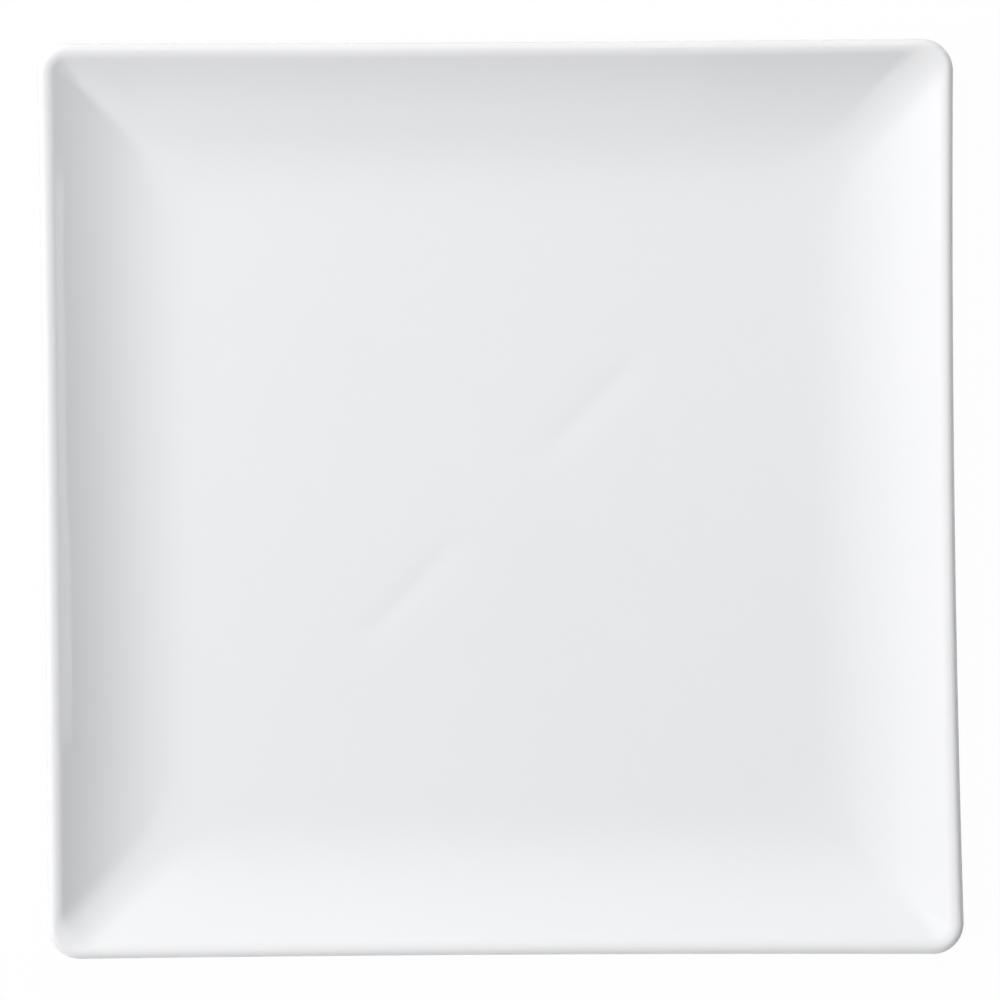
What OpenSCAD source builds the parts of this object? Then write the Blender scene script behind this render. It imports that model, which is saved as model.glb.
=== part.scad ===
/* [Plate] */
// Length of each side of the plate, between the corners of its outline
plate_side = 260; // [220:1:320]
// Height from the table to the top of the rim
plate_height = 22; // [18:0.5:32]
// Radius of the outline's corners
corner_r = 9; // [7:0.5:16]
// How far the firing drew in the middle of the right side
right_bow = 1.1; // [0:0.1:2]
// How far the firing drew in the middle of the back side
back_bow = 0.3; // [0:0.1:2]
// How far the firing drew in the middle of the left side
left_bow = 0.4; // [0:0.1:2]
// How far the firing drew in the middle of the front side
front_bow = 0.5; // [0:0.1:2]
// How far the firing pulled each corner along both sides, out of square
corner_pull = 0.45; // [0:0.05:1]

/* [Wall and rim] */
// Slope of the inside of the wall at its top, above the horizontal, in degrees
wall_slope = 34; // [28:1:40]
// Slope of the back of the wall where it meets the rim, above the horizontal, in degrees
back_slope = 39; // [35:1:44]
// Thickness of the rounded rim
rim_t = 4.2; // [3:0.1:5]
// How much flatter the inside of the wall is where it meets the rim, in degrees
ease_turn = 28; // [10:1:30]
// Radius of the curve over which the wall eases into the rim
ease_r = 5; // [3:0.5:8]
// Corner radius of the two soft valleys between walls, back right and front left, under the rim
valley_r = 9.5; // [4:0.5:12]
// Corner radius of the two crisp valleys between walls, back left and front right
crease_r = 2; // [1:0.5:6]
// Share of the wall's curve, from the well up, over which the valleys tighten
tight_share = 0.4; // [0.3:0.05:0.6]
// Share of the wall's curve from which the crisp valleys open again, into the rim's corners
open_share = 0.8; // [0.65:0.05:0.9]

/* [Well] */
// Thickness of the floor, from the underside's glaze to the glazed well
floor_t = 5; // [4:0.1:6.5]
// Corner radius of the flat well
well_corner_r = 20; // [12:0.5:30]

/* [Glaze] */
// Thickness of the glaze coats
glaze_t = 0.25; // [0.15:0.05:0.4]
// Gap between the edge of a glaze coat and the piece beside it
glaze_gap = 0.1; // [0.08:0.01:0.3]

/* [Foot ring] */
// Height of the foot ring
foot_h = 5.2; // [4:0.1:6.5]
// Distance from the end of the back's curve in to the foot ring
foot_inset = 2.6; // [1:0.1:12]
// Width of the flat face that stands on the table
bearing_w = 2.4; // [1.5:0.1:4]
// Radius of the foot ring's lower edges
foot_edge_r = 1; // [0.5:0.1:1.5]
// Lean of the foot ring's flanks, in degrees
foot_taper = 10; // [4:1:16]
// Corner radius along the middle of the foot ring
foot_corner_r = 18; // [10:0.5:26]

/* [Support ribs] */
// Distance from the plate's centre to the middle of each rib
rib_reach = 37; // [30:1:50]
// Overall length of each rib
rib_length = 34; // [24:1:44]
// Width of each rib
rib_w = 4; // [3:0.1:5]
// How far each rib stops short of the table
rib_short = 0.4; // [0.2:0.1:0.8]

/* [Hidden] */
rib_count = 4;
RIBS = [for (k = [1:rib_count]) str("support_rib_", k)];

// Steps that the curved outline and section are drawn in
side_steps = 8;
corner_steps = 8;
wall_steps = 10;
ease_steps = 3;
rim_steps = 12;
back_steps = 8;
fine_fn = 96;

biscuit_colour = [0.93, 0.92, 0.89];
glaze_colour = [0.91, 0.93, 0.94];
bare_colour = [0.90, 0.88, 0.84];

half_side = plate_side / 2;
well_z = foot_h + floor_t;
under_z = foot_h - glaze_t;
rim_r = rim_t / 2;

// A direction in the section, as [outwards, up], at an angle from straight up
function toward(angle) = [sin(angle), cos(angle)];

// Value between a and b at share s
function mix(a, b, s) = a + (b - a) * s;

// Inside of the section. One arc rises from the flat well to the wall's top, and each arc meets the
// next in a tangent
rim_faces = ease_turn - wall_slope;
rim_centre = [half_side - rim_r, plate_height - rim_r];
ease_centre = rim_centre + (rim_r - ease_r) * toward(rim_faces);
wall_top = ease_centre + ease_r * toward(-wall_slope);
wall_r = (wall_top.y - well_z) / (1 - cos(wall_slope));
wall_centre = [wall_top.x - wall_r * sin(wall_slope), well_z + wall_r];

// Outside of the section. One arc falls from the rim to the flat underside
back_faces = 180 - back_slope;
back_top = rim_centre + rim_r * toward(back_faces);
back_r = (back_top.y - under_z) / (1 - cos(back_slope));
heel_u = back_top.x - back_r * sin(back_slope);
back_centre = [heel_u, under_z + back_r];

// Foot ring section: how far its flanks stand from its middle, low down and at the root
flank_low = [bearing_w / 2 + foot_edge_r * cos(foot_taper), foot_edge_r * (1 - sin(foot_taper))];
flank_root = flank_low.x + (foot_h - flank_low.y) * tan(foot_taper);
foot_outer = heel_u - foot_inset;
foot_half = foot_outer - flank_root;
foot_inner = foot_half - flank_root;

// Where the face glaze ends, just outside the foot ring
coat_end = foot_outer + glaze_gap;
coat_end_corner = foot_corner_r + flank_root + glaze_gap;
heel_corner = coat_end_corner + heel_u - coat_end;

// A ring has two corner radii: of its back right and front left corners, and of the other two
function alike(r) = [r, r];

// Corner radii of the rim's rings, which all turn about one centre
function rim_corners(u) = alike(u - (half_side - corner_r));

// Corner radii of the back of the wall, from the heel up to the rim
function back_corners(u) =
    mix(alike(heel_corner), rim_corners(back_top.x), (u - heel_u) / (back_top.x - heel_u));

// Share s eased at both ends, for s from 0 to 1
function eased(s) = s * s * (3 - 2 * s);

// Corner radii of the wall at share s of its curve. They tighten from the well's to the valleys', and the
// crisp ones open again into the rim's
function wall_corners(s) =
    let (tight = eased(min(1, s / tight_share)), open = eased(max(0, (s - open_share) / (1 - open_share))),
        crisp = mix(well_corner_r, crease_r, tight))
    [mix(well_corner_r, valley_r, tight), mix(crisp, rim_corners(wall_top.x)[1], open)];

// A station of the section is [outwards, up, the angle that it faces, corner radii]
function station(point, faces, corners) = [point.x, point.y, faces, corners];

// The stations of the inside, the rim and the back, from the well round to the underside
wall = [for (i = [0:wall_steps])
    let (s = i / wall_steps, faces = -wall_slope * s)
    station(wall_centre - wall_r * toward(faces), faces, wall_corners(s))];

rim_inside = rim_centre + rim_r * toward(rim_faces);
ease = [for (i = [1:ease_steps])
    let (s = i / ease_steps, faces = mix(-wall_slope, rim_faces, s))
    station(ease_centre + ease_r * toward(faces), faces, mix(wall_corners(1), rim_corners(rim_inside.x), s))];

rim = [for (i = [1:rim_steps])
    let (faces = mix(rim_faces, back_faces, i / rim_steps), point = rim_centre + rim_r * toward(faces))
    station(point, faces, rim_corners(point.x))];

back = [for (i = [1:back_steps])
    let (faces = mix(back_faces, 180, i / back_steps), point = back_centre + back_r * toward(faces))
    station(point, faces, back_corners(point.x))];

section = concat(wall, ease, rim, back);
coat_foot = station([coat_end, under_z], 180, alike(coat_end_corner));

// Share of the firing's bow and pull, from none at the foot ring to all at the outline
function fired(u) = max(0, (u - coat_end) / (half_side - coat_end));

// One quarter of a ring: a drawn-in side, from the corner before it on, and the corner after it
function quarter(half, before, after, bow) = concat(
    [for (i = [0:side_steps - 1])
        let (s = i / side_steps)
        [half - 4 * bow * s * (1 - s), mix(before - half, half - after, s)]],
    [for (j = [0:corner_steps - 1])
        let (turn = 90 * j / corner_steps)
        [half - after + after * cos(turn), half - after + after * sin(turn)]]);

bows = [right_bow, back_bow, left_bow, front_bow];
quarters = len(bows);
ring_n = quarters * (side_steps + corner_steps);

// The ring of points at a station, sunk below the glazed surface by depth
function ring(at, depth) =
    let (faces = toward(at[2]), inset = depth * faces.x, share = fired(at.x),
        pull = corner_pull * share / half_side, corners = at[3] - alike(inset))
    [for (k = [0:quarters - 1],
            p = quarter(at.x - inset, corners[(k + 1) % 2], corners[k % 2], bows[k] * share))
        let (turn = 360 * k / quarters,
            x = p.x * cos(turn) - p.y * sin(turn),
            y = p.x * sin(turn) + p.y * cos(turn))
        [x - pull * y, y - pull * x, at.y - depth * faces.y]];

function reversed(list) = [for (i = [len(list) - 1:-1:0]) list[i]];

// A closed skin over rings of points, with a flat cap on the first and the last
module skin(rings) {
    bands = [for (i = [0:len(rings) - 2], j = [0:ring_n - 1])
        let (a = i * ring_n + j, b = i * ring_n + (j + 1) % ring_n)
        each [[a, b, b + ring_n], [a, b + ring_n, a + ring_n]]];
    first_cap = [for (j = [ring_n - 1:-1:0]) j];
    last_cap = [for (j = [0:ring_n - 1]) (len(rings) - 1) * ring_n + j];
    polyhedron(
        points = [for (points = rings) each points],
        faces = concat([first_cap, last_cap], bands),
        convexity = 4);
}

// The fired clay: floor, walls and rim in one shell, under the glaze
module porcelain_body() {
    color(biscuit_colour)
        skin([for (at = section) ring(at, glaze_t)]);
}

// The glaze over the well, walls, rim and back, down to the foot ring
module face_glaze() {
    coat = concat(section, [coat_foot]);
    color(glaze_colour)
        skin(concat(
            [for (at = coat) ring(at, 0)],
            [for (at = reversed(coat)) ring(at, glaze_t)]));
}

// A square with exact round corners
module rounded_square(half, corner) {
    straight = half - corner;
    square([2 * half, 2 * straight], center = true);
    square([2 * straight, 2 * half], center = true);
    for (x = [-1, 1], y = [-1, 1])
        translate([x * straight, y * straight])
            circle(r = corner, $fn = fine_fn);
}

// Outline of one rib along the X axis, widened by grow
module rib_outline(grow) {
    straight = rib_length - rib_w;
    square([straight, rib_w + 2 * grow], center = true);
    for (side = [-1, 1])
        translate([side * straight / 2, 0])
            circle(r = rib_w / 2 + grow, $fn = fine_fn);
}

// Places its children at rib k, halfway between two sides of the plate
module at_rib(k) {
    rotate([0, 0, 360 * (k + 1 / 2) / rib_count])
        translate([rib_reach, 0, 0])
            children();
}

// The glaze on the underside, inside the foot ring and around the ribs
module base_glaze() {
    color(glaze_colour)
        translate([0, 0, under_z])
            linear_extrude(height = glaze_t)
                difference() {
                    rounded_square(foot_inner - glaze_gap, foot_corner_r - flank_root - glaze_gap);
                    for (k = [0:rib_count - 1])
                        at_rib(k)
                            rib_outline(glaze_gap);
                }
}

// Section of the foot ring, across it and up, with its middle at zero
module foot_section() {
    polygon([
        [-flank_root, foot_h],
        [-flank_low.x, flank_low.y],
        [-bearing_w / 2, 0],
        [bearing_w / 2, 0],
        [flank_low.x, flank_low.y],
        [flank_root, foot_h]]);
    for (side = [-1, 1])
        translate([side * bearing_w / 2, foot_edge_r])
            circle(r = foot_edge_r, $fn = fine_fn);
}

// The square foot ring, of bare clay, that stands on the table
module foot_ring() {
    straight = foot_half - foot_corner_r;
    color(bare_colour)
        for (k = [0:quarters - 1])
            rotate([0, 0, 360 * k / quarters]) {
                for (end = [0, 1])
                    mirror([0, end, 0])
                        translate([foot_half, 0, 0])
                            rotate([90, 0, 0])
                                linear_extrude(height = straight)
                                    foot_section();
                translate([straight, straight, 0])
                    rotate_extrude(angle = 90, $fn = fine_fn)
                        translate([foot_corner_r, 0])
                            foot_section();
            }
}

// One short glazed rib that kept the floor from sinking in the kiln
module support_rib(k) {
    straight = rib_length - rib_w;
    round_z = rib_short + rib_w / 2;
    color(glaze_colour)
        at_rib(k) {
            translate([-straight / 2, 0, round_z])
                rotate([0, 90, 0])
                    cylinder(h = straight, d = rib_w, $fn = fine_fn);
            translate([-straight / 2, -rib_w / 2, round_z])
                cube([straight, rib_w, foot_h - round_z]);
            for (side = [-1, 1])
                translate([side * straight / 2, 0, round_z]) {
                    cylinder(h = foot_h - round_z, d = rib_w, $fn = fine_fn);
                    sphere(d = rib_w, $fn = fine_fn);
                }
        }
}

porcelain_body();
face_glaze();
base_glaze();
foot_ring();
for (k = [0:rib_count - 1])
    support_rib(k);
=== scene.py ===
"""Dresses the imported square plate: its glaze coats, foot ring and support ribs, and the studio they stand in."""

import logging
import math
from dataclasses import dataclass, field
from enum import Enum
from typing import Callable, Iterable, Sequence

import bmesh
import bpy
import numpy as np
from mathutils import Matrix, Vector, noise


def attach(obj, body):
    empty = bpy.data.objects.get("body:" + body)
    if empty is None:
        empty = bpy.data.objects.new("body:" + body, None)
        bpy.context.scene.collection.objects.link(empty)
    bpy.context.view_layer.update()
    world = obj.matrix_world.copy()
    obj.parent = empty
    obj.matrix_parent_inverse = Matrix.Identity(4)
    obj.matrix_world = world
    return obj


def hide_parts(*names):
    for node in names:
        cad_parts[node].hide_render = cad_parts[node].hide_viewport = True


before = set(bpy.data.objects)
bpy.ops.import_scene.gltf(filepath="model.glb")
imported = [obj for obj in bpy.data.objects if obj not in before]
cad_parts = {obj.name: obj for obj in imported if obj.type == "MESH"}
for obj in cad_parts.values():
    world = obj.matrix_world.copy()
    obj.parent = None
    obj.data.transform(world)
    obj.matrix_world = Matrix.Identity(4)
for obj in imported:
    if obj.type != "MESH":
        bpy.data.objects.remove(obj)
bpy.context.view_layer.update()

BODY = "root"
SEAT = "seat"
# Painted value for how deep the glaze pooled; in the cove it also paints shade.
POOL_AND_SHADE = "pool"
GLAZED = "glazed"
WELD = 1e-6
GLASS_IOR = 1.5
log = logging.getLogger("plate")

Colour = tuple[float, float, float, float]


class Tone(Enum):
    """Colours of the plate and its studio."""

    GLAZE = (0.835, 0.84, 0.85, 1.0)
    # Deeper glaze tone where the glaze pooled; in the cove it is also painted shade.
    GLAZE_DEEP_AND_SHADE = (0.812, 0.83, 0.842, 1.0)
    CLAY = (0.80, 0.785, 0.75, 1.0)
    CLAY_SHADE = (0.72, 0.70, 0.66, 1.0)
    SPECK = (0.38, 0.36, 0.34, 1.0)
    SOIL = (0.50, 0.49, 0.47, 1.0)
    WHITE = (1.0, 1.0, 1.0, 1.0)
    FLOOR = (0.82, 0.82, 0.82, 1.0)
    FILL = (0.72, 1.0, 0.9, 1.0)
    SIDE = (1.0, 0.965, 0.975, 1.0)
    TOP = (0.975, 1.0, 1.0, 1.0)


class Slot(Enum):
    """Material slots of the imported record."""

    GLAZE = "white_glaze"
    BARE = "bare_porcelain"
    BISCUIT = "porcelain_biscuit"


class Ending(Enum):
    """What becomes of the last ring of a piece that is extruded ring by ring."""

    OPEN = "left open"
    CENTRE = "drawn together into one point"
    START = "welded onto the first ring"


def toward(angle: float) -> np.ndarray:
    """Returns the direction in a section, outwards and up, at an angle in degrees from straight up."""
    return np.array([math.sin(math.radians(angle)), math.cos(math.radians(angle))])


def smooth_step(share: np.ndarray | float) -> np.ndarray | float:
    """Returns a share from 0 to 1, eased at both ends."""
    kept = np.clip(share, 0.0, 1.0)
    return kept * kept * (3.0 - 2.0 * kept)


def mix(low: float, high: float, share: float) -> float:
    """Returns the value between low and high at a share."""
    return low + (high - low) * share


def between(low: float, high: float, count: int) -> list[float]:
    """Returns count evenly spaced values after low, up to and with high."""
    return [low + (high - low) * step / count for step in range(1, count + 1)]


@dataclass(frozen=True)
class Station:
    """One place in the plate's section: outwards, up, the angle that it faces, and its ring's corner radii.

    The corner radius is that of the back right and front left corners. The crease radius is that of the other two,
    and is the same where it isn't given.
    """

    out: float
    up: float
    faces: float
    corner: float
    crease: float | None = None

    @property
    def corners(self) -> tuple[float, float]:
        """Both corner radii."""
        return self.corner, self.corner if self.crease is None else self.crease

    def sunk(self, depth: float) -> "Station":
        """Returns the station below it by a depth, on a surface that runs alongside."""
        across, rise = toward(self.faces) * depth
        corner, crease = self.corners
        return Station(self.out - across, self.up - rise, self.faces, corner - across, crease - across)


@dataclass
class Outline:
    """The plate's square outline, with the bow and the pull that the firing gave it."""

    half_side: float = 0.130
    corner: float = 0.009
    bows: tuple[float, ...] = (0.0011, 0.0003, 0.0004, 0.0005)
    corner_pull: float = 0.00045
    still: float = 0.089113
    side_steps: int = 104
    corner_steps: int = 24

    @property
    def steps(self) -> int:
        """Steps along one side with its half corners."""
        return self.side_steps + self.corner_steps

    def fired(self, out: float) -> float:
        """Returns the share of the bow and pull at a distance out, none at the foot and all at the rim."""
        return max(0.0, (out - self.still) / (self.half_side - self.still))

    def quarter(self, half: float, before: float, after: float, bow: float) -> np.ndarray:
        """Places one side and the half corners at its ends.

        Args:
            half: Distance of the side from the middle.
            before: Radius of the corner before the side.
            after: Radius of the corner after the side.
            bow: How far the middle of the side is drawn in.

        Returns:
            Places along the side, from the middle of one corner to just before the middle of the next.
        """
        turns = np.arange(self.corner_steps) * (math.pi / 2 / self.corner_steps)
        middle = self.corner_steps // 2
        share = np.arange(self.side_steps) / self.side_steps
        places = [np.stack([half - 4 * bow * share * (1 - share),
                            (before - half) * (1 - share) + (half - after) * share], axis=1)]
        for sign, radius, turn in ((-1, before, turns[middle:] - math.pi / 2), (1, after, turns[:middle])):
            across = half - radius + radius * np.cos(turn)
            places.append(np.stack([across, sign * (half - radius) + radius * np.sin(turn)], axis=1))
        return np.concatenate([places[1], places[0], places[2]])

    def ring(self, station: Station) -> np.ndarray:
        """Places the plate's whole ring at a station.

        Args:
            station: The station of the section.

        Returns:
            The ring's places, anticlockwise from the middle of the front right corner.
        """
        share = self.fired(station.out)
        pull = self.corner_pull * share / self.half_side
        sides = []
        for index, bow in enumerate(self.bows):
            after, before = station.corners if index % 2 == 0 else station.corners[::-1]
            side = self.quarter(station.out, before, after, bow * share)
            turn = math.pi / 2 * index
            x = side[:, 0] * math.cos(turn) - side[:, 1] * math.sin(turn)
            y = side[:, 0] * math.sin(turn) + side[:, 1] * math.cos(turn)
            sides.append(np.stack([x - pull * y, y - pull * x, np.full_like(x, station.up)], axis=1))
        return np.concatenate(sides)


@dataclass
class Section:
    """The plate's section from the well over the rim to the foot. Sizes in metres, slopes in degrees."""

    half_side: float = 0.129995
    height: float = 0.02197
    outline_corner: float = 0.009
    wall_slope: float = 34.0
    back_slope: float = 39.0
    rim_radius: float = 0.0021
    ease_turn: float = 28.0
    ease_radius: float = 0.005
    valley_radius: float = 0.0095
    crease_radius: float = 0.002
    tight_share: float = 0.4
    open_share: float = 0.8
    well_height: float = 0.0102
    well_corner: float = 0.020
    under_height: float = 0.00495
    heel_corner: float = 0.023556
    coat: float = 0.00025

    def __post_init__(self) -> None:
        """Works out the centres of the section's arcs, each tangent to the next."""
        self.rim_faces = self.ease_turn - self.wall_slope
        self.rim_centre = np.array([self.half_side, self.height]) - self.rim_radius
        self.ease_centre = self.rim_centre + (self.rim_radius - self.ease_radius) * toward(self.rim_faces)
        self.wall_top = self.ease_centre + self.ease_radius * toward(-self.wall_slope)
        slope, lean = math.radians(self.wall_slope), math.radians(self.back_slope)
        self.wall_radius = (self.wall_top[1] - self.well_height) / (1 - math.cos(slope))
        self.well_half = self.wall_top[0] - self.wall_radius * math.sin(slope)
        self.wall_centre = np.array([self.well_half, self.well_height + self.wall_radius])
        self.back_faces = 180.0 - self.back_slope
        self.back_top = self.rim_centre + self.rim_radius * toward(self.back_faces)
        self.back_radius = (self.back_top[1] - self.under_height) / (1 - math.cos(lean))
        self.heel_out = self.back_top[0] - self.back_radius * math.sin(lean)
        self.back_centre = np.array([self.heel_out, self.under_height + self.back_radius])

    def rim_corner(self, out: float) -> float:
        """Returns the corner radius of the rim's rings, which all turn about one centre."""
        return out - (self.half_side - self.outline_corner)

    def back_corner(self, out: float) -> float:
        """Returns the corner radius of the back of the wall."""
        share = (out - self.heel_out) / (self.back_top[0] - self.heel_out)
        return mix(self.heel_corner, self.rim_corner(self.back_top[0]), share)

    def wall_corners(self, share: float) -> tuple[float, float]:
        """Returns the corner radii of the wall at a share of its curve.

        They tighten from the well's to the valleys', and the crisp ones open again into the rim's.
        """
        tight = float(smooth_step(share / self.tight_share))
        opened = float(smooth_step((share - self.open_share) / (1 - self.open_share)))
        crisp = mix(self.well_corner, self.crease_radius, tight)
        return mix(self.well_corner, self.valley_radius, tight), mix(crisp, self.rim_corner(self.wall_top[0]), opened)

    def stations(self, wall: int, ease: int, rim: int, back: int) -> list[Station]:
        """Walks the glazed surface from the edge of the flat well to the end of the back.

        Args:
            wall: Steps up the wall.
            ease: Steps over which the wall eases into the rim.
            rim: Steps round the rim.
            back: Steps down the back.

        Returns:
            The stations in order.
        """
        made = []
        for share in [0.0, *between(0, 1, wall)]:
            faces = -self.wall_slope * share
            place = self.wall_centre - self.wall_radius * toward(faces)
            made.append(Station(*place, faces, *self.wall_corners(share)))
        inside = (self.rim_centre + self.rim_radius * toward(self.rim_faces))[0]
        for share in between(0, 1, ease):
            faces = -self.wall_slope + self.ease_turn * share
            place = self.ease_centre + self.ease_radius * toward(faces)
            corners = (mix(radius, self.rim_corner(inside), share) for radius in self.wall_corners(1.0))
            made.append(Station(*place, faces, *corners))
        for faces in between(self.rim_faces, self.back_faces, rim):
            place = self.rim_centre + self.rim_radius * toward(faces)
            made.append(Station(*place, faces, self.rim_corner(place[0])))
        for share in between(0, 1, back):
            faces = self.back_faces + (180.0 - self.back_faces) * share
            place = self.back_centre + self.back_radius * toward(faces)
            made.append(Station(*place, faces, self.back_corner(place[0])))
        return made


@dataclass
class FootSection:
    """The foot ring's section. Sizes in metres, lean in degrees."""

    half: float = 0.086057
    bearing: float = 0.0024
    edge_radius: float = 0.001
    lean: float = 10.0
    height: float = 0.0052
    corner: float = 0.018
    meniscus: float = 0.0009
    embed: float = 0.00015

    def flank(self, up: float) -> float:
        """Returns how far a flank stands from the ring's middle at a height."""
        turn = math.radians(self.lean)
        low = self.bearing / 2 + self.edge_radius * math.cos(turn)
        return low + (up - self.edge_radius * (1 - math.sin(turn))) * math.tan(turn)

    def at(self, across: float, up: float, faces: float) -> Station:
        """Returns the station that stands across from the ring's middle, at a height."""
        return Station(self.half + across, up, faces, self.corner + across)

    def fillet(self, sign: int, ceiling: float, steps: int) -> list[Station]:
        """Walks the glaze that fills the angle between the underside and a flank.

        Args:
            sign: 1 for the outer flank and -1 for the inner one.
            ceiling: Height of the glazed underside.
            steps: Steps round the fillet.

        Returns:
            Stations from the underside down to the flank, and one more that is sunk into the ring.
        """
        up = ceiling - self.meniscus
        middle = self.flank(up) + self.meniscus / math.cos(math.radians(self.lean))
        made = []
        for faces in [180.0, *between(180.0, 90.0 + self.lean, steps)]:
            place = np.array([middle, up]) - self.meniscus * toward(faces)
            made.append(self.at(sign * place[0], place[1], sign * faces))
        end = np.array([middle, up]) - (self.meniscus + self.embed) * toward(90.0 + self.lean)
        made.append(self.at(sign * end[0], end[1], sign * (90.0 + self.lean)))
        return made


def deselect_all() -> None:
    """Leaves edit mode and deselects every object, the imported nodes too."""
    if bpy.context.object and bpy.context.object.mode != "OBJECT":
        bpy.ops.object.mode_set(mode="OBJECT")
    bpy.ops.object.select_all(action="DESELECT")


def circle_piece(name: str, places: np.ndarray) -> bpy.types.Object:
    """Adds a circle of edges, moves its points onto a ring and numbers them, and stays in edit mode.

    Args:
        name: The new piece's name.
        places: The ring's places in order.

    Returns:
        The new object.
    """
    deselect_all()
    radius = float(np.linalg.norm(places, axis=1).max())
    bpy.ops.mesh.primitive_circle_add(vertices=len(places), radius=radius, enter_editmode=True)
    piece = bpy.context.object
    piece.name = piece.data.name = name
    shape = bmesh.from_edit_mesh(piece.data)
    seat = shape.verts.layers.int.new(SEAT)
    shape.verts.ensure_lookup_table()
    for index, place in enumerate(places):
        shape.verts[index].co = place
        shape.verts[index][seat] = index
    bpy.ops.mesh.select_all(action="SELECT")
    return piece


def grid_piece(name: str, places: np.ndarray, height: Callable[[float, float], float]) -> bpy.types.Object:
    """Adds a grid, rounds it to fill a ring, and stays in edit mode with its edge selected.

    Args:
        name: The new piece's name.
        places: Places of the ring that the grid fills, four sides of equal steps.
        height: Gives the height at a place.

    Returns:
        The new object.
    """
    deselect_all()
    count = len(places) // 4
    bpy.ops.mesh.primitive_grid_add(x_subdivisions=count, y_subdivisions=count, size=2, enter_editmode=True)
    piece = bpy.context.object
    piece.name = piece.data.name = name
    half = float(places[:, 0].max())
    shape = bmesh.from_edit_mesh(piece.data)
    seat = shape.verts.layers.int.new(SEAT)
    shape.verts.ensure_lookup_table()
    looped = np.concatenate([places, places[:1]])
    steps = np.arange(len(looped))
    for vertex in shape.verts:
        a, b = vertex.co.x, vertex.co.y
        reach = max(abs(a), abs(b))
        if reach < WELD:
            vertex.co.z = height(0.0, 0.0)
            continue
        a, b = a / reach, b / reach
        if a >= 1 - WELD and b < 1 - WELD:
            walk = (b + 1) / 2
        elif b >= 1 - WELD and a > WELD - 1:
            walk = 1 + (1 - a) / 2
        elif a <= WELD - 1 and b > WELD - 1:
            walk = 2 + (1 - b) / 2
        else:
            walk = 3 + (a + 1) / 2
        walk = walk * count % len(places)
        rim = [np.interp(walk, steps, looped[:, axis]) for axis in (0, 1)]
        share = reach**4
        x = reach * (a * half * (1 - share) + rim[0] * share)
        y = reach * (b * half * (1 - share) + rim[1] * share)
        vertex.co = (x, y, height(x, y))
        vertex[seat] = round(walk) % len(places)
    bpy.ops.mesh.select_all(action="DESELECT")
    for edge in shape.edges:
        if edge.is_boundary:
            edge.select_set(True)
    bmesh.update_edit_mesh(piece.data)
    return piece


def extrude_rings(piece: bpy.types.Object, rings: Iterable[np.ndarray], ending: Ending) -> None:
    """Extrudes the selected loop of edges through one ring after another, then closes the piece.

    Args:
        piece: The piece in edit mode, with its open loop of edges selected and numbered.
        rings: Places for each new ring, in the numbers' order.
        ending: What becomes of the last ring.
    """
    for places in rings:
        bpy.ops.mesh.extrude_edges_move()
        shape = bmesh.from_edit_mesh(piece.data)
        seat = shape.verts.layers.int[SEAT]
        shape.verts.ensure_lookup_table()
        for vertex in shape.verts[-len(places):]:
            vertex.co = places[vertex[seat]]
        bmesh.update_edit_mesh(piece.data, loop_triangles=False, destructive=False)
    if ending is Ending.CENTRE:
        bpy.ops.mesh.extrude_edges_move()
        bpy.ops.mesh.merge(type="CENTER")
    bpy.ops.mesh.select_all(action="SELECT")
    bpy.ops.mesh.remove_doubles(threshold=WELD)
    bpy.ops.mesh.normals_make_consistent(inside=False)
    bpy.ops.mesh.faces_shade_smooth()
    bpy.ops.object.mode_set(mode="OBJECT")


def paint_values(piece: bpy.types.Object, name: str, value: Callable[[Vector], float]) -> None:
    """Writes a value from 0 to 1 at every point of a piece, for its material to read.

    Args:
        piece: The piece.
        name: Name of the attribute.
        value: Gives the value at a place.
    """
    layer = piece.data.attributes.new(name, "FLOAT", "POINT")
    layer.data.foreach_set("value", [value(vertex.co) for vertex in piece.data.vertices])


def wander(place: float, wave: float, seed: float) -> float:
    """Returns a smooth value from about -1 to 1 that wanders along a length."""
    return 2.0 * noise.noise(Vector((place / wave, seed, 0.37)))


@dataclass
class SinkMark:
    """A shallow trough in the well, over a support rib."""

    reach: float = 0.037
    length: float = 0.034
    depth: float = 0.00024
    spread: float = 0.0026
    end_spread: float = 0.005

    def sink(self, x: float, y: float, turn: float) -> float:
        """Returns how deep the trough is at a place.

        Args:
            x: Place to the right of the plate's middle.
            y: Place behind the plate's middle.
            turn: Direction of the rib from the middle, in radians.

        Returns:
            The depth in metres.
        """
        along = x * math.cos(turn) + y * math.sin(turn) - self.reach
        across = y * math.cos(turn) - x * math.sin(turn)
        past = max(0.0, abs(along) - self.length / 2 + self.end_spread)
        return self.depth * math.exp(-((across / self.spread) ** 2 + (past / self.end_spread) ** 2) / 2)


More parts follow.
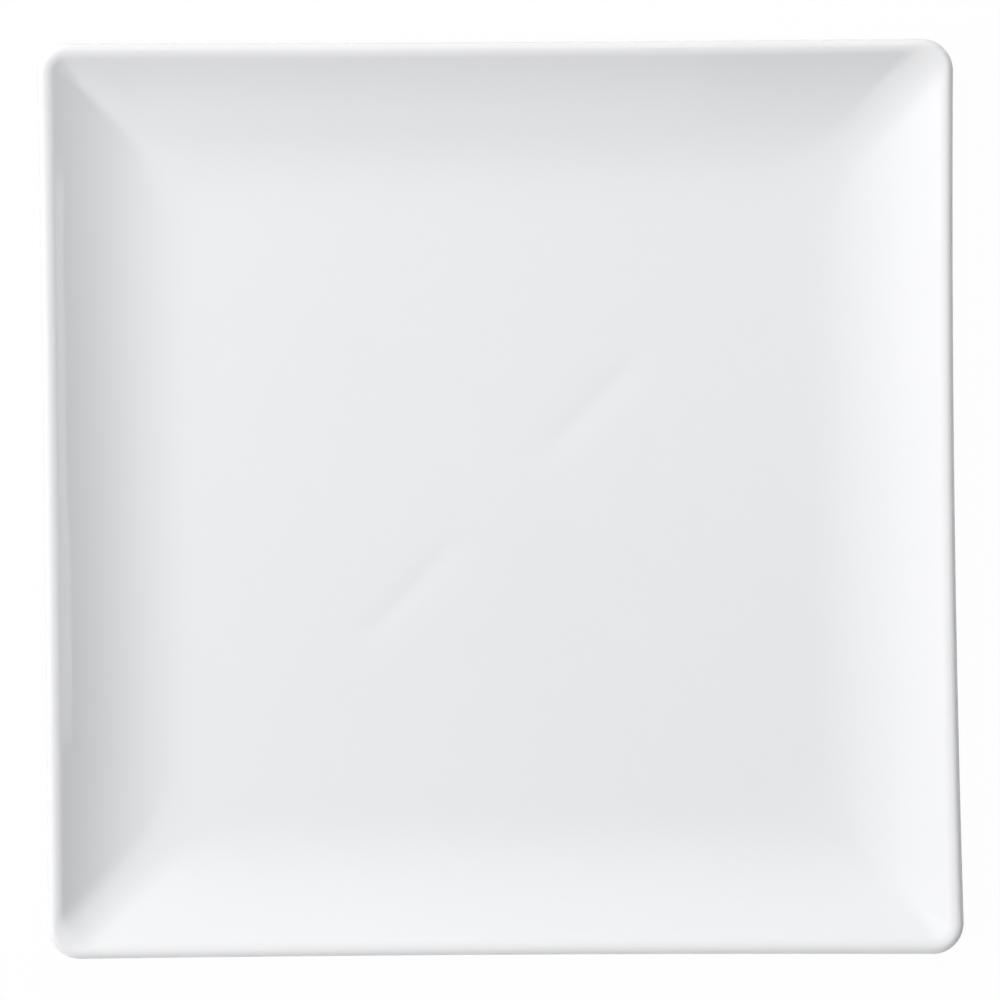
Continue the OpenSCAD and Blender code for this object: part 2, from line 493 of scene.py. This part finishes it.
@dataclass
class FaceGlaze:
    """The glossy coat over the well, walls, rim and back, down to the foot ring."""

    section: Section
    outline: Outline
    foot: FootSection
    mark: SinkMark = field(default_factory=SinkMark)
    wall_steps: int = 30
    ease_steps: int = 16
    rim_steps: int = 40
    back_steps: int = 14
    fillet_steps: int = 6
    ripple: float = 0.00003
    fine_share: float = 0.2
    ripple_wave: float = 0.034
    fine_wave: float = 0.007
    ripple_band: float = 0.0022
    ripple_fade: float = 0.02
    ripple_least: float = 0.01
    side_seed: float = 3.1
    pool_plain: float = 0.35
    # Extra depth in the cove, where the wall meets the well: pooled glaze and painted shade.
    cove_pool_and_shade: float = 0.65
    pool_rim: float = 0.5
    cove_middle: float = 0.006
    cove_width: float = 0.011
    rim_share: float = 0.2

    def well_height(self, x: float, y: float) -> float:
        """Returns the height of the glazed well at a place, with the sink marks."""
        sunk = sum(self.mark.sink(x, y, math.pi / 4 + math.pi / 2 * rib) for rib in range(4))
        return self.section.well_height - sunk

    def rippled(self, places: np.ndarray, station: Station) -> np.ndarray:
        """Moves a ring where the glaze ran unevenly under the rim.

        Args:
            places: The ring's places.
            station: The station that it is at.

        Returns:
            The places, moved along the section's normal.
        """
        near = math.exp(-(((station.out - self.section.wall_top[0]) / self.ripple_band) ** 2))
        if near < self.ripple_least:
            return places
        across, rise = toward(station.faces)
        count = len(places) // 4
        for index, place in enumerate(places):
            quarter = index // count
            side, seed = place[1] if quarter % 2 == 0 else place[0], self.side_seed * quarter
            end = min(1.0, (self.section.half_side - self.section.outline_corner - abs(side)) / self.ripple_fade)
            if end <= 0:
                continue
            drift = wander(side, self.ripple_wave, seed) + self.fine_share * wander(side, self.fine_wave, seed)
            swell = self.ripple * near * end * drift
            turn = math.pi / 2 * quarter
            place += swell * np.array([across * math.cos(turn), across * math.sin(turn), rise])
        return places

    def pool(self, place: Vector) -> float:
        """Returns how deep the glaze has pooled at a place: most in the cove, least on the rim. The extra depth in the
        cove also paints shade there.
        """
        up = (place.z - self.section.well_height) / (self.section.height - self.section.well_height)
        out = max(abs(place.x), abs(place.y))
        cove = math.exp(-(((out - self.section.well_half - self.cove_middle) / self.cove_width) ** 2))
        rim = smooth_step((up - 1 + self.rim_share) / self.rim_share)
        return float(np.clip(self.pool_plain + self.cove_pool_and_shade * cove - self.pool_rim * rim, 0.0, 1.0))

    def build(self) -> bpy.types.Object:
        """Builds the coat: a grid for the well, extruded up the walls, over the rim and back under the coat."""
        stations = self.section.stations(self.wall_steps, self.ease_steps, self.rim_steps, self.back_steps)
        skirt = self.foot.fillet(1, self.section.under_height, self.fillet_steps)
        piece = grid_piece("face_glaze_coat", self.outline.ring(stations[0]), self.well_height)
        outer = [self.rippled(self.outline.ring(at), at) for at in stations[1:]]
        outer += [self.outline.ring(at) for at in skirt]
        coarse = self.section.stations(8, 4, 8, 6)
        inner = [self.foot.at(self.foot.flank(self.foot.height) - self.foot.embed, self.foot.height, 180.0)]
        inner += [at.sunk(self.section.coat) for at in reversed(coarse)]
        outer += [self.outline.ring(at) for at in inner]
        extrude_rings(piece, outer, Ending.CENTRE)
        paint_values(piece, POOL_AND_SHADE, self.pool)
        return piece

    def dress(self, piece: bpy.types.Object, finish: bpy.types.Material) -> None:
        """Gives the coat its finish and its place in the frame."""
        piece.data.materials.append(finish)
        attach(piece, BODY)
        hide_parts("face_glaze")


@dataclass
class BaseGlaze:
    """The glossy coat under the floor, inside the foot ring."""

    section: Section
    foot: FootSection
    outline: Outline
    fillet_steps: int = 6
    wave: float = 0.000025
    wave_length: float = 0.045
    wave_fade: float = 0.02
    pool: float = 0.5

    def height(self, x: float, y: float) -> float:
        """Returns the height of the glazed underside, a little uneven away from its edge."""
        edge = (self.foot.half - max(abs(x), abs(y))) / self.wave_fade
        drift = 2.0 * noise.noise(Vector((x, y, 0.01)) / self.wave_length)
        return self.section.under_height + self.wave * drift * float(smooth_step(edge))

    def build(self) -> bpy.types.Object:
        """Builds the coat: a grid under the floor, extruded down the ring's flank and back above it."""
        skirt = self.foot.fillet(-1, self.section.under_height, self.fillet_steps)
        top = self.foot.at(-self.foot.flank(self.foot.height) + self.foot.embed, self.foot.height, 0.0)
        piece = grid_piece("base_glaze_coat", self.outline.ring(skirt[0]), self.height)
        rings = [self.outline.ring(at) for at in [*skirt[1:], top]]
        extrude_rings(piece, rings, Ending.CENTRE)
        paint_values(piece, POOL_AND_SHADE, lambda place: self.pool)
        return piece

    def dress(self, piece: bpy.types.Object, finish: bpy.types.Material) -> None:
        """Gives the coat its finish and its place in the frame."""
        piece.data.materials.append(finish)
        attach(piece, BODY)
        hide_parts("base_glaze")


@dataclass
class FootRing:
    """The square foot ring: glazed flanks that end in a bead, and a bare edge that stands on the table."""

    foot: FootSection
    outline: Outline
    edge_steps: int = 8
    bead_height: float = 0.0017
    bead_wander: float = 0.00022
    bead_wave: float = 0.011
    bead: float = 0.00012
    bead_steps: int = 4
    bare_fade: float = 30.0
    flank_height: float = 0.0035
    flank_share: float = 0.3
    line_below: float = 0.0001
    line_width: float = 0.00015

    def half_section(self, sign: int) -> list[tuple[Station, float]]:
        """Walks one flank from its root down to the bearing face.

        Args:
            sign: 1 for the outer flank and -1 for the inner one.

        Returns:
            Stations, each with the share of the bead's wander that it follows.
        """
        foot, faces = self.foot, 90.0 + self.foot.lean
        made = [(foot.at(sign * foot.flank(foot.height), foot.height, sign * faces), 0.0)]
        middle = foot.at(sign * foot.flank(self.flank_height), self.flank_height, sign * faces)
        made.append((middle, self.flank_share))
        for turn in [0.0, *between(0.0, 90.0, self.bead_steps)]:
            up = self.bead_height - self.bead * math.sin(math.radians(turn))
            across = foot.flank(up) - self.bead * (1 - math.cos(math.radians(turn)))
            made.append((foot.at(sign * across, up, sign * faces), 1.0))
        centre = np.array([foot.bearing / 2, foot.edge_radius])
        for angle in [faces, *between(faces, 180.0, self.edge_steps)]:
            place = centre + foot.edge_radius * toward(angle)
            shrink = self.bead * smooth_step((180.0 - angle) / self.bare_fade)
            made.append((foot.at(sign * (place[0] - shrink), place[1], sign * angle), 0.0))
        return made

    def build(self) -> bpy.types.Object:
        """Builds the ring from its outer root round under its edge to its inner root, and closes it there."""
        outer, inner = self.half_section(1), self.half_section(-1)
        loop = outer + inner[::-1]
        rings = []
        for station, share in loop:
            places = self.outline.ring(station)
            if share:
                for place in places:
                    place[2] += share * self.bead_wander * 2.0 * noise.noise(Vector(place) / self.bead_wave)
            rings.append(places)
        piece = circle_piece("foot_ring_fired", rings[0])
        extrude_rings(piece, [*rings[1:], rings[0]], Ending.START)
        line = self.bead_height - self.bead

        def glazed(place: Vector) -> float:
            """Returns 1 on the glazed flank and 0 on the bare edge."""
            drift = self.bead_wander * 2.0 * noise.noise(Vector((place.x, place.y, self.bead_height)) / self.bead_wave)
            return float(smooth_step((place.z - drift - line + self.line_below) / self.line_width))

        paint_values(piece, GLAZED, glazed)
        return piece

    def dress(self, piece: bpy.types.Object, finish: bpy.types.Material) -> None:
        """Gives the ring its finish and its place in the frame."""
        piece.data.materials.append(finish)
        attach(piece, BODY)
        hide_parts("foot_ring")


@dataclass
class SupportRibs:
    """The four short glazed ribs under the floor."""

    section: Section
    reach: float = 0.037
    length: float = 0.034
    width: float = 0.004
    short: float = 0.0004
    flare: float = 0.0008
    pool: float = 0.2
    count: int = 4
    end_steps: int = 14
    flare_steps: int = 5
    crest_steps: int = 9

    def ring(self, half_width: float, up: float) -> np.ndarray:
        """Places the rib's long round-ended outline at a height, along the X axis from the plate's middle."""
        half = (self.length - self.width) / 2
        turns = np.arange(self.end_steps + 1) * (math.pi / self.end_steps) - math.pi / 2
        right = np.stack([half + half_width * np.cos(turns), half_width * np.sin(turns)], axis=1)
        flat = np.concatenate([right, -right])
        return np.stack([flat[:, 0] + self.reach, flat[:, 1], np.full(len(flat), up)], axis=1)

    def build(self) -> list[bpy.types.Object]:
        """Builds one rib from its root down to its crest, and copies it round the plate."""
        half, ceiling = self.width / 2, self.section.under_height
        rings = [self.ring(half + self.flare, ceiling + self.section.coat / 2)]
        for faces in [180.0, *between(180.0, 90.0, self.flare_steps)]:
            place = np.array([half + self.flare, ceiling - self.flare]) - self.flare * toward(faces)
            rings.append(self.ring(place[0], place[1]))
        for angle in [90.0, *between(90.0, 180.0, self.crest_steps)]:
            place = np.array([0.0, self.short + half]) + half * toward(angle)
            rings.append(self.ring(max(place[0], 0.0), place[1]))
        piece = circle_piece("support_rib_fired_1", rings[0])
        bpy.ops.mesh.edge_face_add()
        bpy.ops.mesh.select_all(action="DESELECT")
        bpy.ops.mesh.select_mode(type="EDGE")
        bpy.ops.mesh.select_all(action="SELECT")
        extrude_rings(piece, rings[1:], Ending.OPEN)
        ribs = [piece]
        for index in range(1, self.count):
            deselect_all()
            piece.select_set(True)
            bpy.context.view_layer.objects.active = piece
            bpy.ops.object.duplicate(linked=False)
            copy = bpy.context.object
            copy.name = copy.data.name = f"support_rib_fired_{index + 1}"
            ribs.append(copy)
        for index, rib in enumerate(ribs):
            deselect_all()
            rib.select_set(True)
            bpy.context.view_layer.objects.active = rib
            rib.rotation_euler.z = math.pi / 2 * (index + 0.5)
            bpy.ops.object.transform_apply(location=True, rotation=True, scale=True)
            paint_values(rib, POOL_AND_SHADE, lambda place: self.pool)
        return ribs

    def dress(self, ribs: Sequence[bpy.types.Object], finish: bpy.types.Material) -> None:
        """Gives the ribs their finish and their places in the frame."""
        for index, rib in enumerate(ribs):
            rib.data.materials.append(finish)
            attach(rib, BODY)
            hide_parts(f"support_rib_{index + 1}")


FLOAT, COLOUR, VECTOR = "NodeSocketFloat", "NodeSocketColor", "NodeSocketVector"
Socket = bpy.types.NodeSocket
Feed = Socket | float | Colour


class Board:
    """A tree of shader nodes under construction."""

    def __init__(self, tree: bpy.types.NodeTree) -> None:
        """Takes the tree that the nodes go into.

        Args:
            tree: The node tree.
        """
        self.tree, self.nodes, self.links = tree, tree.nodes, tree.links

    def feed(self, node: bpy.types.Node, feeds: dict[str | int, Feed]) -> bpy.types.Node:
        """Links sockets to a node's inputs, or sets them to values.

        Args:
            node: The node.
            feeds: A socket or a value for each input, by name or by place.

        Returns:
            The node.
        """
        for label, value in feeds.items():
            if isinstance(value, Socket):
                self.links.new(value, node.inputs[label])
            else:
                node.inputs[label].default_value = value
        return node

    def add(self, kind: str, feeds: dict[str | int, Feed], **settings: object) -> bpy.types.Node:
        """Adds a node.

        Args:
            kind: The node's type.
            feeds: A socket or a value for each input.
            settings: The node's own settings.

        Returns:
            The node.
        """
        node = self.nodes.new(kind)
        for name, value in settings.items():
            setattr(node, name, value)
        return self.feed(node, feeds)

    def math(self, operation: str, *feeds: Feed, clamp: bool = False) -> Socket:
        """Adds a sum and returns its result."""
        node = self.add("ShaderNodeMath", dict(enumerate(feeds)), operation=operation, use_clamp=clamp)
        return node.outputs[0]

    def noise(self, vector: Socket, scale: Feed, detail: float) -> Socket:
        """Adds a cloudy noise and returns its value."""
        node = self.add("ShaderNodeTexNoise", {"Vector": vector, "Scale": scale, "Detail": detail})
        return node.outputs["Fac"]

    def spread(self, value: Socket, low: float, high: float) -> Socket:
        """Maps a value from 0 to 1 onto low to high."""
        node = self.add("ShaderNodeMapRange", {"Value": value, "To Min": low, "To Max": high})
        return node.outputs["Result"]

    def fade(self, value: Socket, start: Feed, end: Feed) -> Socket:
        """Maps a value from start to end onto 0 to 1, eased at both ends."""
        feeds = {"Value": value, "From Min": start, "From Max": end}
        return self.add("ShaderNodeMapRange", feeds, interpolation_type="SMOOTHSTEP").outputs["Result"]

    def tint(self, mask: Socket, under: Feed, over: Feed) -> Socket:
        """Lays one colour over another where a mask says."""
        node = self.add("ShaderNodeMix", {}, data_type="RGBA")
        return self.feed(node, {"Factor": mask, 6: under, 7: over}).outputs[2]


class Effect(Board):
    """A shader node group under construction, with named sockets."""

    def __init__(self, name: str, inputs: dict[str, tuple[str, object]], outputs: dict[str, str]) -> None:
        """Starts a group.

        Args:
            name: The group's name.
            inputs: Each input's socket type and starting value.
            outputs: Each output's socket type.
        """
        super().__init__(bpy.data.node_groups.new(name, "ShaderNodeTree"))
        for label, (kind, value) in inputs.items():
            socket = self.tree.interface.new_socket(name=label, in_out="INPUT", socket_type=kind)
            if value is not None:
                socket.default_value = value
        for label, kind in outputs.items():
            self.tree.interface.new_socket(name=label, in_out="OUTPUT", socket_type=kind)
        self.given = self.nodes.new("NodeGroupInput").outputs

    def close(self, results: dict[str, Socket]) -> bpy.types.NodeTree:
        """Leads the results out of the group, and returns it."""
        self.feed(self.nodes.new("NodeGroupOutput"), results)
        return self.tree


class Effects:
    """Shader groups that the plate's finishes share, each built once."""

    def __init__(self) -> None:
        """Builds every group."""
        self.cloud = self._cloud()
        self.specks = self._specks()
        self.skin = self._skin()

    @staticmethod
    def _cloud() -> bpy.types.NodeTree:
        """Builds the drift of one colour into another, as where a glaze lies deeper. On the glaze this also paints
        shade into the cove.
        """
        inputs = {
            "Vector": (VECTOR, None),
            "Plain": (COLOUR, Tone.GLAZE.value),
            "Deep": (COLOUR, Tone.GLAZE_DEEP_AND_SHADE.value),
            "Depth": (FLOAT, 0.5),
            "Scale": (FLOAT, 20.0),
            "Drift": (FLOAT, 0.3),
        }
        effect = Effect("glaze_cloud", inputs, {"Colour": COLOUR, "Mask": FLOAT})
        given = effect.given
        centred = effect.math("SUBTRACT", effect.noise(given["Vector"], given["Scale"], 3.0), 0.5)
        swing = effect.math("MULTIPLY_ADD", centred, given["Drift"], given["Depth"], clamp=True)
        return effect.close({"Colour": effect.tint(swing, given["Plain"], given["Deep"]), "Mask": swing})

    @staticmethod
    def _specks() -> bpy.types.NodeTree:
        """Builds sparse round specks, such as iron in a glaze or grit in clay."""
        inputs = {
            "Vector": (VECTOR, None),
            "Scale": (FLOAT, 100.0),
            "Size": (FLOAT, 0.05),
            "Rarity": (FLOAT, 0.9),
        }
        effect = Effect("kiln_specks", inputs, {"Mask": FLOAT})
        given = effect.given
        cells = effect.add("ShaderNodeTexVoronoi", {"Vector": given["Vector"], "Scale": given["Scale"]})
        parts = effect.add("ShaderNodeSeparateColor", {"Color": cells.outputs["Color"]})
        rare = effect.math("GREATER_THAN", parts.outputs[0], given["Rarity"])
        small = effect.fade(cells.outputs["Distance"], given["Size"], 0.0)
        return effect.close({"Mask": effect.math("MULTIPLY", small, rare)})

    @staticmethod
    def _skin() -> bpy.types.NodeTree:
        """Builds the height of a fired surface: long soft swells with a finer grain over them."""
        inputs = {
            "Vector": (VECTOR, None),
            "Swell": (FLOAT, 60.0),
            "Grain": (FLOAT, 900.0),
            "Grain share": (FLOAT, 0.2),
        }
        effect = Effect("fired_skin", inputs, {"Height": FLOAT})
        given = effect.given
        swell, grain = (effect.noise(given["Vector"], given[label], 2.0) for label in ("Swell", "Grain"))
        return effect.close({"Height": effect.math("MULTIPLY_ADD", grain, given["Grain share"], swell)})


def empty_material(name: str) -> bpy.types.Material:
    """Makes a material without nodes."""
    material = bpy.data.materials.new(name)
    material.use_nodes = True
    material.node_tree.nodes.clear()
    return material


class Finish(Board):
    """A material under construction, with its shader and its object coordinates."""

    def __init__(self, name: str) -> None:
        """Starts a material.

        Args:
            name: The material's name.
        """
        self.material = empty_material(name)
        super().__init__(self.material.node_tree)
        self.shader = self.add("ShaderNodeBsdfPrincipled", {})
        self.add("ShaderNodeOutputMaterial", {"Surface": self.shader.outputs["BSDF"]})
        self.place = self.add("ShaderNodeTexCoord", {}).outputs["Object"]

    def group(self, tree: bpy.types.NodeTree, **feeds: Feed) -> bpy.types.Node:
        """Places a shared effect, fed with object coordinates.

        Args:
            tree: The effect's group.
            feeds: Sockets or values for its inputs, with underscores for spaces.

        Returns:
            The group node.
        """
        named = {label.replace("_", " "): value for label, value in feeds.items()}
        return self.add("ShaderNodeGroup", {"Vector": self.place} | named, node_tree=tree)

    def attribute(self, name: str) -> Socket:
        """Returns a painted value of the piece."""
        return self.add("ShaderNodeAttribute", {}, attribute_name=name).outputs["Fac"]

    def bump(self, height: Socket, distance: float, strength: Feed = 1.0) -> None:
        """Lets a height roughen the surface by a distance in metres."""
        node = self.add("ShaderNodeBump", {"Height": height, "Distance": distance, "Strength": strength})
        self.feed(self.shader, {"Normal": node.outputs["Normal"]})


@dataclass(frozen=True)
class GlazeFinish:
    """Glossy cool white glaze, deeper in tone where it pooled and in the cove, where the deeper tone is also painted
    shade, with a few iron specks.
    """

    name: str = "white_glaze_fired"
    gloss_low: float = 0.045
    gloss_high: float = 0.075
    swell: float = 0.0000012

    def make(self, effects: Effects) -> bpy.types.Material:
        """Builds the material."""
        finish = Finish(self.name)
        # The painted pool value darkens the glaze toward its deeper tone; in the cove that darkening is painted shade.
        cloud = finish.group(effects.cloud, Depth=finish.attribute(POOL_AND_SHADE), Scale=16.0, Drift=0.9)
        specks = finish.group(effects.specks, Scale=110.0, Size=0.03, Rarity=0.995)
        colour = finish.tint(specks.outputs["Mask"], cloud.outputs["Colour"], Tone.SPECK.value)
        gloss = finish.spread(cloud.outputs["Mask"], self.gloss_high, self.gloss_low)
        finish.feed(finish.shader, {"Base Color": colour, "Roughness": gloss})
        skin = finish.group(effects.skin, Swell=140.0, Grain=2200.0, Grain_share=0.05)
        finish.bump(skin.outputs["Height"], self.swell)
        finish.shader.inputs["IOR"].default_value = GLASS_IOR
        return finish.material


@dataclass(frozen=True)
class BareFinish:
    """Foot ring: glazed on its flanks, bare sanded clay with some soil on the edge that it stands on."""

    name: str = "bare_porcelain_fired"
    bare_rough: float = 0.62
    glazed_rough: float = 0.06
    grain: float = 0.00004
    glazed_grain: float = 0.02

    def make(self, effects: Effects) -> bpy.types.Material:
        """Builds the material."""
        finish = Finish(self.name)
        glazed = finish.attribute(GLAZED)
        clay = finish.group(
            effects.cloud, Plain=Tone.CLAY.value, Deep=Tone.CLAY_SHADE.value, Depth=0.35, Scale=260.0, Drift=1.2
        )
        soil = finish.group(effects.specks, Scale=900.0, Size=0.25, Rarity=0.86)
        bare = finish.tint(soil.outputs["Mask"], clay.outputs["Colour"], Tone.SOIL.value)
        colour = finish.tint(glazed, bare, Tone.GLAZE.value)
        gloss = finish.spread(glazed, self.bare_rough, self.glazed_rough)
        finish.feed(finish.shader, {"Base Color": colour, "Roughness": gloss})
        skin = finish.group(effects.skin, Swell=500.0, Grain=5200.0, Grain_share=1.4)
        finish.bump(skin.outputs["Height"], self.grain, finish.spread(glazed, 1.0, self.glazed_grain))
        finish.shader.inputs["IOR"].default_value = GLASS_IOR
        return finish.material


@dataclass(frozen=True)
class BiscuitFinish:
    """Matt fired clay under the glaze."""

    name: str = "porcelain_biscuit_fired"
    rough_low: float = 0.7
    rough_high: float = 0.85
    grain: float = 0.00002

    def make(self, effects: Effects) -> bpy.types.Material:
        """Builds the material."""
        finish = Finish(self.name)
        clay = finish.group(
            effects.cloud, Plain=Tone.CLAY.value, Deep=Tone.CLAY_SHADE.value, Depth=0.2, Scale=120.0, Drift=0.8
        )
        rough = finish.spread(clay.outputs["Mask"], self.rough_low, self.rough_high)
        finish.feed(finish.shader, {"Base Color": clay.outputs["Colour"], "Roughness": rough})
        skin = finish.group(effects.skin, Swell=300.0, Grain=3000.0, Grain_share=0.8)
        finish.bump(skin.outputs["Height"], self.grain)
        return finish.material


@dataclass(frozen=True)
class Softbox:
    """A lamp with a flat white front. Its glow is 1 where it would show as plain white."""

    name: str
    azimuth: float
    elevation: float
    distance: float
    width: float
    height: float
    glow: float
    colour: Colour = Tone.WHITE.value
    shift: float = 0.0
    mirrored: bool = True
    lights: bool = True

    def build(self) -> bpy.types.Object:
        """Hangs the lamp, facing the middle of the plate."""
        turn, lift = math.radians(self.azimuth), math.radians(self.elevation)
        away = Vector((math.cos(turn) * math.cos(lift), math.sin(turn) * math.cos(lift), math.sin(lift)))
        beside = Vector((-math.sin(turn), math.cos(turn), 0.0))
        deselect_all()
        bpy.ops.object.light_add(type="AREA", location=away * self.distance + beside * self.shift)
        lamp = bpy.context.object
        lamp.name = self.name
        lamp.rotation_euler = away.to_track_quat("Z", "Y").to_euler()
        lamp.data.shape = "RECTANGLE"
        lamp.data.size, lamp.data.size_y = self.width, self.height
        lamp.data.color = self.colour[:3]
        lamp.data.energy = self.glow * math.pi * self.width * self.height
        lamp.visible_camera = False
        lamp.visible_glossy, lamp.visible_diffuse = self.mirrored, self.lights
        return lamp


@dataclass(frozen=True)
class Flag:
    """A grey cloth hung to the right of the plate, which only the glaze shows.

    It fades out upwards, and sideways from its middle, which is a little behind the plate's.
    """

    name: str = "flag_right"
    away: float = 1.5
    behind: float = 0.12
    half_width: float = 0.52
    height: float = 5.0
    fade_up: float = 2.0
    fade_out: float = 0.28
    darkest: float = 0.5

    def build(self) -> bpy.types.Object:
        """Hangs the cloth from the floor up."""
        deselect_all()
        bpy.ops.mesh.primitive_plane_add(size=1.0, location=(self.away, self.behind, self.height / 2))
        cloth = bpy.context.object
        cloth.name = self.name
        cloth.rotation_euler = (0.0, -math.pi / 2, 0.0)
        cloth.scale = (self.height, 2 * self.half_width, 1.0)
        bpy.ops.object.transform_apply(location=True, rotation=True, scale=True)
        cloth.data.materials.append(self._grey())
        cloth.visible_camera = cloth.visible_diffuse = cloth.visible_shadow = cloth.visible_transmission = False
        return cloth

    def _grey(self) -> bpy.types.Material:
        """Builds the cloth's material, which is as pale as the room at its upper and side edges."""
        material = empty_material("flag_cloth")
        board = Board(material.node_tree)
        parts = board.add("ShaderNodeSeparateXYZ", {0: board.add("ShaderNodeTexCoord", {}).outputs["Object"]})
        side = board.math("ABSOLUTE", board.math("SUBTRACT", parts.outputs["Y"], self.behind))
        above = board.fade(parts.outputs["Z"], self.fade_up, self.height)
        paler = board.math("MAXIMUM", above, board.fade(side, self.fade_out, self.half_width))
        glow = board.add("ShaderNodeEmission", {"Strength": board.spread(paler, self.darkest, 1.0)})
        board.add("ShaderNodeOutputMaterial", {"Surface": glow.outputs[0]})
        return material


@dataclass
class Studio:
    """The white table, the soft lamps, the pale surroundings and the camera overhead."""

    lamps: tuple[Softbox, ...] = (
        Softbox("side_softbox", 180.0, 40.0, 2.8, 1.4, 1.4, 9.25, Tone.SIDE.value, mirrored=False),
        Softbox("back_softbox", 90.0, 60.0, 1.5, 0.75, 0.75, 3.34, Tone.SIDE.value, mirrored=False),
        Softbox("back_card", 90.0, 20.0, 2.8, 1.4, 1.4, 3.9, Tone.TOP.value, mirrored=False),
        Softbox("top_softbox", 151.0, 86.0, 2.4, 1.4, 1.4, 1.9, Tone.TOP.value, mirrored=False),
        Softbox("front_table_card", 270.0, 1.2, 0.42, 0.9, 0.02, 7.0, Tone.SIDE.value, mirrored=False),
        Softbox("strip_right", 0.0, 32.3, 1.077, 0.33, 0.16, 1.65, shift=0.03, lights=False),
        Softbox("card_front", 270.0, 47.5, 1.0, 0.308, 0.72, 0.42, shift=-0.04, lights=False),
    )
    fill: float = 0.05
    floor_side: float = 8.0
    floor_white: float = 0.975
    floor_below: float = 0.00002
    sensor: float = 36.0
    lens: float = 149.58
    clip: tuple[float, float] = (0.01, 20.0)
    camera_height: float = 1.2
    camera_place: tuple[float, float] = (-0.00020, -0.00033)
    camera_turn: float = -0.524

    def light(self) -> None:
        """Hangs the lamps and surrounds them with pale light."""
        for lamp in self.lamps:
            lamp.build()
        world = bpy.data.worlds.new("pale_room")
        bpy.context.scene.world = world
        world.use_nodes = True
        world.node_tree.nodes.clear()
        board = Board(world.node_tree)
        shown = board.add("ShaderNodeBackground", {"Color": Tone.WHITE.value})
        lit = board.add("ShaderNodeBackground", {"Color": Tone.FILL.value, "Strength": self.fill})
        feeds = {"Fac": self._seen_plainly(board), 1: lit.outputs[0], 2: shown.outputs[0]}
        blend = board.add("ShaderNodeMixShader", feeds)
        board.add("ShaderNodeOutputWorld", {"Surface": blend.outputs[0]})

    @staticmethod
    def _seen_plainly(board: Board) -> Socket:
        """Returns 1 for rays from the camera, a reflection or a clear material, and 0 for others."""
        path = board.add("ShaderNodeLightPath", {}).outputs
        first = board.math("MAXIMUM", path["Is Camera Ray"], path["Is Glossy Ray"])
        return board.math("MAXIMUM", first, path["Is Transmission Ray"])

    def lay_floor(self) -> bpy.types.Object:
        """Lays the white table under the plate, which keeps a faint shadow."""
        deselect_all()
        bpy.ops.mesh.primitive_plane_add(size=self.floor_side, location=(0.0, 0.0, -self.floor_below))
        floor = bpy.context.object
        floor.name = "white_table"
        material = empty_material("white_table_top")
        board = Board(material.node_tree)
        cloth = board.add("ShaderNodeBsdfDiffuse", {"Color": Tone.FLOOR.value})
        glow = board.add("ShaderNodeEmission", {})
        share = board.math("MULTIPLY", self._seen_plainly(board), self.floor_white)
        blend = board.add("ShaderNodeMixShader", {"Fac": share, 1: cloth.outputs[0], 2: glow.outputs[0]})
        board.add("ShaderNodeOutputMaterial", {"Surface": blend.outputs[0]})
        floor.data.materials.append(material)
        return floor

    def place_camera(self) -> None:
        """Hangs the camera straight above the plate, turned as the photo is."""
        deselect_all()
        bpy.ops.object.camera_add(location=(*self.camera_place, self.camera_height))
        camera = bpy.context.object
        camera.name = "overhead_camera"
        camera.rotation_euler = (0.0, 0.0, math.radians(self.camera_turn))
        camera.data.sensor_width = self.sensor
        camera.data.lens = self.lens
        camera.data.clip_start, camera.data.clip_end = self.clip
        bpy.context.scene.camera = camera

    def build(self) -> None:
        """Sets up the whole studio."""
        self.place_camera()
        self.light()
        self.lay_floor()
        Flag().build()
        bpy.context.scene.view_settings.view_transform = "Standard"


def dress_packed_body(finish: bpy.types.Material) -> None:
    """Gives the packed clay body, which the glaze hides, its own finish."""
    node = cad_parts["porcelain_body"]
    for slot in node.material_slots:
        slot.material = finish
    if not node.material_slots:
        node.data.materials.append(finish)


def report_piece(piece: bpy.types.Object) -> None:
    """Logs a piece's name and size."""
    size = [round(1000 * side, 2) for side in piece.dimensions]
    log.info("%s: %d faces, %s mm", piece.name, len(piece.data.polygons), size)


def main() -> None:
    """Builds the plate's pieces in order, dresses them and sets up the studio."""
    logging.basicConfig(level=logging.INFO, format="%(name)s: %(message)s")
    section, outline, foot = Section(), Outline(), FootSection()
    foot_outline = Outline(side_steps=40, corner_steps=24)
    effects = Effects()
    glaze, bare, biscuit = GlazeFinish().make(effects), BareFinish().make(effects), BiscuitFinish().make(effects)

    parts = (
        (FaceGlaze(section, outline, foot), glaze),
        (BaseGlaze(section, foot, foot_outline), glaze),
        (FootRing(foot, foot_outline), bare),
        (SupportRibs(section), glaze),
    )
    for part, finish in parts:
        made = part.build()
        part.dress(made, finish)
        for piece in made if isinstance(made, list) else [made]:
            report_piece(piece)

    dress_packed_body(biscuit)
    Studio().build()


if __name__ == "__main__":
    main()
